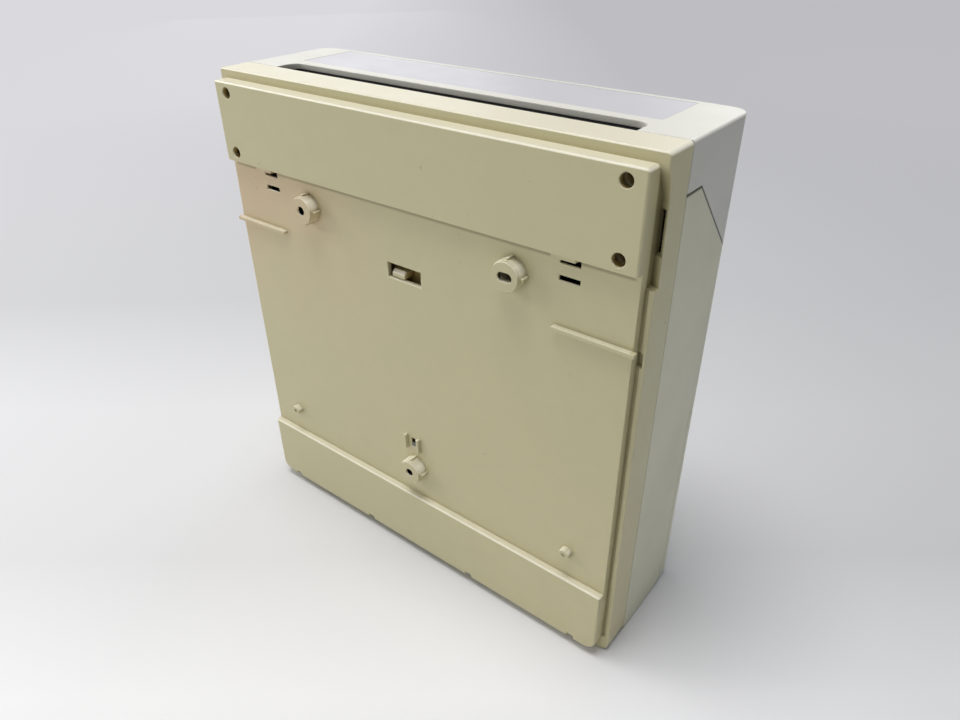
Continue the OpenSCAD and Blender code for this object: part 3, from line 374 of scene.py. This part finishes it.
material_of = {
    "cream_shell": yellowed_shell(),
    "grey_housing": moulded("grey_housing", (0.715, 0.705, 0.540), 0.42, joint=HOOD_JOINT),
    "white_hood": moulded("white_hood", (0.690, 0.680, 0.622), 0.40, drift=0.03, joint=HOOD_JOINT),
    "label": printed_label(),
    "dark_plastic": moulded("dark_plastic", (0.030, 0.031, 0.034), 0.42, drift=0.15),
    "key_grey": moulded("key_grey", (0.20, 0.21, 0.24), 0.46),
    "clear_window": clear_plastic(
        "clear_window", (0.80, 0.84, 0.82), 0.05, Transmission_Weight=0.85, IOR=1.49
    ),
    "display_glass": display_cell(),
    "light_diffuser": clear_plastic("light_diffuser", (0.78, 0.78, 0.74), 0.35),
    "white_plastic": moulded("white_plastic", (0.70, 0.68, 0.58), 0.40),
    "elastomer": banded("elastomer", (0.55, 0.28, 0.32), (0.12, 0.09, 0.10), 0, 0.0006, 0.6),
    "black_rubber": rubber("black_rubber", (0.022, 0.022, 0.024)),
    "steel": zinc_steel("steel", (0.62, 0.62, 0.64), 0.32),
    "board_green": circuit_board(),
    "lamination": banded(
        "lamination", (0.16, 0.165, 0.18), (0.06, 0.062, 0.07), 1, 0.0007, 0.42, Metallic=0.6
    ),
    "copper": banded("copper", (0.62, 0.27, 0.10), (0.25, 0.09, 0.035), 2, 0.0005, 0.34, Metallic=0.7),
    "relay_blue": moulded("relay_blue", (0.035, 0.105, 0.30), 0.32),
    "capacitor_sleeve": clear_plastic("capacitor_sleeve", (0.012, 0.018, 0.065), 0.22),
    "film_yellow": moulded("film_yellow", (0.60, 0.38, 0.045), 0.36),
    "ceramic_blue": clear_plastic("ceramic_blue", (0.02, 0.085, 0.30), 0.25),
    "glass_tube": clear_plastic("glass_tube", (0.86, 0.90, 0.90), 0.04, Transmission_Weight=0.8, IOR=1.47),
    "cable_grey": banded("cable_grey", (0.26, 0.26, 0.28), (0.12, 0.12, 0.13), 0, 0.00127, 0.5),
    "terminal_grey": moulded("terminal_grey", (0.075, 0.078, 0.085), 0.48),
    "terminal_green": moulded("terminal_green", (0.035, 0.16, 0.06), 0.44),
    "led_body": clear_plastic("led_body", (0.50, 0.62, 0.16), 0.15, Transmission_Weight=0.4, IOR=1.5),
}

for name, node in nodes.items():
    node.data.materials.clear()
    node.data.materials.append(material_of[slot_of[name]])

# ------------------------------------------------------- mouldings with soft edges


SHARP = math.radians(28)
ROOM = 2.2


def soft_edged(node, width, skip=None):
    """The CAD moulding with its outer edges rounded as they leave the tool."""
    bm = bmesh.new()
    bm.from_mesh(nodes[node].data)
    bmesh.ops.remove_doubles(bm, verts=bm.verts, dist=2e-6)
    bmesh.ops.dissolve_limit(
        bm, angle_limit=math.radians(0.6), use_dissolve_boundaries=False, verts=bm.verts, edges=bm.edges
    )
    picked = [
        e for e in bm.edges
        if len(e.link_faces) == 2 and e.is_convex and e.calc_face_angle(0.0) > SHARP
        and min(f.calc_area() for f in e.link_faces) > ROOM * width * e.calc_length()
        and not (skip and skip((e.verts[0].co + e.verts[1].co) / 2 / MM))
    ]
    bmesh.ops.bevel(
        bm, geom=picked, offset=width, offset_type="OFFSET", segments=2, profile=0.5,
        affect="EDGES", clamp_overlap=False, material=-1, loop_slide=True,
    )
    bmesh.ops.dissolve_degenerate(bm, dist=1e-7, edges=bm.edges)
    add_piece(bm, node + "_moulding", node, smooth_below=40)


def add_piece(bm, name, node, smooth_below):
    """Makes an object of the mesh that rides, takes its slot from the CAD node, and stands for it."""
    for e in bm.edges:
        e.smooth = len(e.link_faces) != 2 or e.calc_face_angle(0.0) < math.radians(smooth_below)
    for f in bm.faces:
        f.smooth = True
    mesh = bpy.data.meshes.new(name)
    bm.to_mesh(mesh)
    bm.free()
    piece = bpy.data.objects.new(name, mesh)
    bpy.context.scene.collection.objects.link(piece)
    mesh.materials.append(material_of[slot_of[node]])
    weighted = piece.modifiers.new("weighted", "WEIGHTED_NORMAL")
    weighted.keep_sharp = True
    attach(piece, body_of[node])
    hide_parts(node)


def kept_sharp(p):
    """Edges of the side channel, and of the band's ledge with its hook slots."""
    return (abs(p.x) > 105.2 and 20 < p.y < 28) or (abs(p.x) < 105 and 183 < p.z < 190)


def near_label_seat(p):
    """Edges of the shallow seat under the label."""
    top = cad_high.z / MM
    return p.z > top - 0.6 and abs(p.x) < 92 and p.y < 0


soft_edged("back_shell", 0.35 * MM, skip=kept_sharp)
soft_edged("top_hood", 0.4 * MM, skip=near_label_seat)
soft_edged("front_housing", 0.3 * MM)
soft_edged("front_door", 0.35 * MM)
soft_edged("board_tray", 0.3 * MM)

# ------------------------------------------------------------------------- stage

CAMERA_YAW = 2.47818


def floor_material():
    """Pale paper with painted light: brighter towards the camera and the window side, greyer at the far
    right, with a camera-only painted glow.
    """
    g = Graph("studio_floor")
    turned = g.tree.nodes.new("ShaderNodeVectorRotate")
    turned.rotation_type = "Z_AXIS"
    turned.inputs["Angle"].default_value = CAMERA_YAW
    g.join(g.coords, turned.inputs["Vector"])
    across, ahead = g.axis(0, turned.outputs[0]), g.axis(1, turned.outputs[0])
    # Painted light: a brighter pool near the camera and on the lit side, painted shade further back and at
    # the right.
    near = g.remap(ahead, -0.11, -0.03, 1.0, 0.0)
    behind = g.remap(ahead, 0.10, 0.26)
    squares = [g.math("MULTIPLY", v, v) for v in (across, ahead)]
    far = g.remap(g.math("SQRT", g.math("ADD", *squares)), 0.42, 1.1)
    side = g.remap(across, -0.35, 0.30)
    left = g.mix(behind, (0.765, 0.77, 0.79), (0.60, 0.605, 0.625))
    right = g.mix(behind, (0.597, 0.60, 0.62), (0.575, 0.58, 0.60))
    base = g.mix(near, g.mix(side, left, right), g.mix(side, (0.88, 0.885, 0.90), (0.72, 0.725, 0.745)))
    base = g.mix(g.math("MULTIPLY", g.remap(g.noise(3, 2), 0.3, 0.7), 0.03), base, (0.70, 0.70, 0.72))
    seen = g.tree.nodes.new("ShaderNodeLightPath").outputs["Is Camera Ray"]
    base = g.mix(g.math("MULTIPLY", far, seen), base, (0.0, 0.0, 0.0))
    g.shader.inputs["Specular IOR Level"].default_value = 0.1
    g.finish(base, 0.85)
    # Painted glow seen only by the camera: the far floor as a backdrop, brighter on the left, and a little
    # near the camera.
    backdrop = g.math("MULTIPLY", far, g.remap(side, 0.0, 1.0, 0.685, 0.50))
    glow = g.math("ADD", g.math("MULTIPLY", near, 0.05), backdrop)
    g.join(g.math("MULTIPLY", glow, seen), g.shader.inputs["Emission Strength"])
    g.shader.inputs["Emission Color"].default_value = (0.995, 0.99, 1.04, 1.0)
    return g.material


def studio_floor():
    half = 12.0
    bm = bmesh.new()
    corners = [bm.verts.new((x * half, y * half, 0.0)) for x, y in ((-1, -1), (1, -1), (1, 1), (-1, 1))]
    bm.faces.new(corners)
    mesh = bpy.data.meshes.new("floor")
    bm.to_mesh(mesh)
    bm.free()
    floor = bpy.data.objects.new("floor", mesh)
    bpy.context.scene.collection.objects.link(floor)
    mesh.materials.append(floor_material())


def lamp(name, place, aim, size, watts, colour):
    data = bpy.data.lights.new(name, "AREA")
    data.shape = "DISK"
    data.size = size
    data.energy = watts
    data.color = colour
    light = bpy.data.objects.new(name, data)
    light.location = place
    light.rotation_mode = "QUATERNION"
    light.rotation_quaternion = (Vector(aim) - Vector(place)).to_track_quat("-Z", "Y")
    bpy.context.scene.collection.objects.link(light)


def studio_world(strength, reflected, colour, seen):
    """Even soft surroundings, stronger where a surface mirrors them, and a plain pale backdrop."""
    world = bpy.data.worlds.new("studio")
    bpy.context.scene.world = world
    world.use_nodes = True
    tree = world.node_tree
    tree.nodes.clear()
    path = tree.nodes.new("ShaderNodeLightPath")
    result = None
    layers = ((None, colour, strength), ("Is Glossy Ray", colour, reflected), ("Is Camera Ray", seen, 1.0))
    for ray, tint, level in layers:
        light = tree.nodes.new("ShaderNodeBackground")
        light.inputs["Color"].default_value = (*tint, 1.0)
        light.inputs["Strength"].default_value = level
        if ray:
            mix = tree.nodes.new("ShaderNodeMixShader")
            tree.links.new(path.outputs[ray], mix.inputs[0])
            tree.links.new(result, mix.inputs[1])
            tree.links.new(light.outputs[0], mix.inputs[2])
            result = mix.outputs[0]
        else:
            result = light.outputs[0]
    tree.links.new(result, tree.nodes.new("ShaderNodeOutputWorld").inputs["Surface"])


studio_floor()
studio_world(0.175, 0.50, (0.94, 0.97, 1.0), (0.60, 0.605, 0.64))
lamp("overhead", (0.1, 0.2, 1.8), (0, 0, 0.1), 0.9, 21, (1.0, 0.99, 0.98))
lamp("left", (1.7, 0.5, 0.8), (0, 0, 0.1), 1.2, 17, (1.0, 0.98, 0.95))
lamp("rear", (0.2, 1.9, 1.0), (0, 0, 0.1), 1.2, 1.5, (1.0, 0.99, 0.97))
lamp("front", (0.1, -1.9, 0.9), (0, 0, 0.1), 1.2, 6.5, (0.97, 0.98, 1.0))
lamp("front_left", (1.6, -1.3, 0.45), (0, 0, 0.1), 1.2, 3.5, (0.97, 0.98, 1.0))

# ------------------------------------------------------------------------ camera


def set_camera():
    yaw, pitch, roll = CAMERA_YAW, 0.55913, -0.0065
    place = Vector((-196.34, 231.38, 291.21)) * MM
    focal_px, width_px, sensor = 739.15, 960.0, 36.0
    forward = Vector((math.sin(yaw) * math.cos(pitch), math.cos(yaw) * math.cos(pitch), -math.sin(pitch)))
    right = forward.cross(Vector((0, 0, 1))).normalized()
    up = right.cross(forward)
    c, s = math.cos(roll), math.sin(roll)
    right, up = right * c + up * s, up * c - right * s
    turn = Matrix((right, up, -forward)).transposed()
    data = bpy.data.cameras.new("camera")
    data.sensor_width = sensor
    data.lens = focal_px / width_px * sensor
    data.clip_start = 0.01
    camera = bpy.data.objects.new("camera", data)
    camera.matrix_world = Matrix.Translation(place) @ turn.to_4x4()
    bpy.context.scene.collection.objects.link(camera)
    bpy.context.scene.camera = camera


set_camera()
bpy.context.scene.view_settings.view_transform = "Standard"
